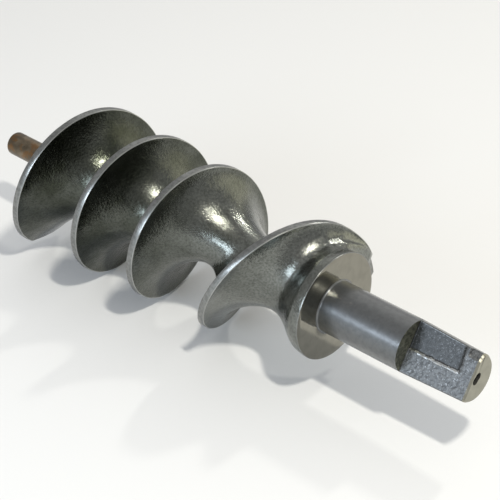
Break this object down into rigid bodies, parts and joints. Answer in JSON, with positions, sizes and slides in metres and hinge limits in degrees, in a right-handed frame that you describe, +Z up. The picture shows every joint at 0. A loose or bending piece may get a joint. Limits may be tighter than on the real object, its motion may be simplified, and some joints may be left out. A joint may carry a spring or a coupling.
{
  "type": "feed screw",
  "caption": "Left-handed feed screw of a meat mincer: cast flighted worm with thrust collar, round journal and half-round drive tang, and a steel knife stud at the other end.",
  "frame": {"origin": "on the screw's axis, in the plane of the collar's thrust face", "axes": "+X along the axis out of the drive tang, -X out of the knife stud, +Z up with the screw lying level; the tang's flat faces 147 degrees round from +Y towards +Z"},
  "size_m": [0.2769, 0.0752, 0.0745],
  "materials": {
    "feed_screw": "cast and tin-coated, glossy, with turned lands, journal and thrust face",
    "knife_stud": "turned steel with a brown tarnish"
  },
  "bodies": {
    "root": {"feed_screw": "feed_screw", "knife_stud": "knife_stud"}
  },
  "joints": []
}
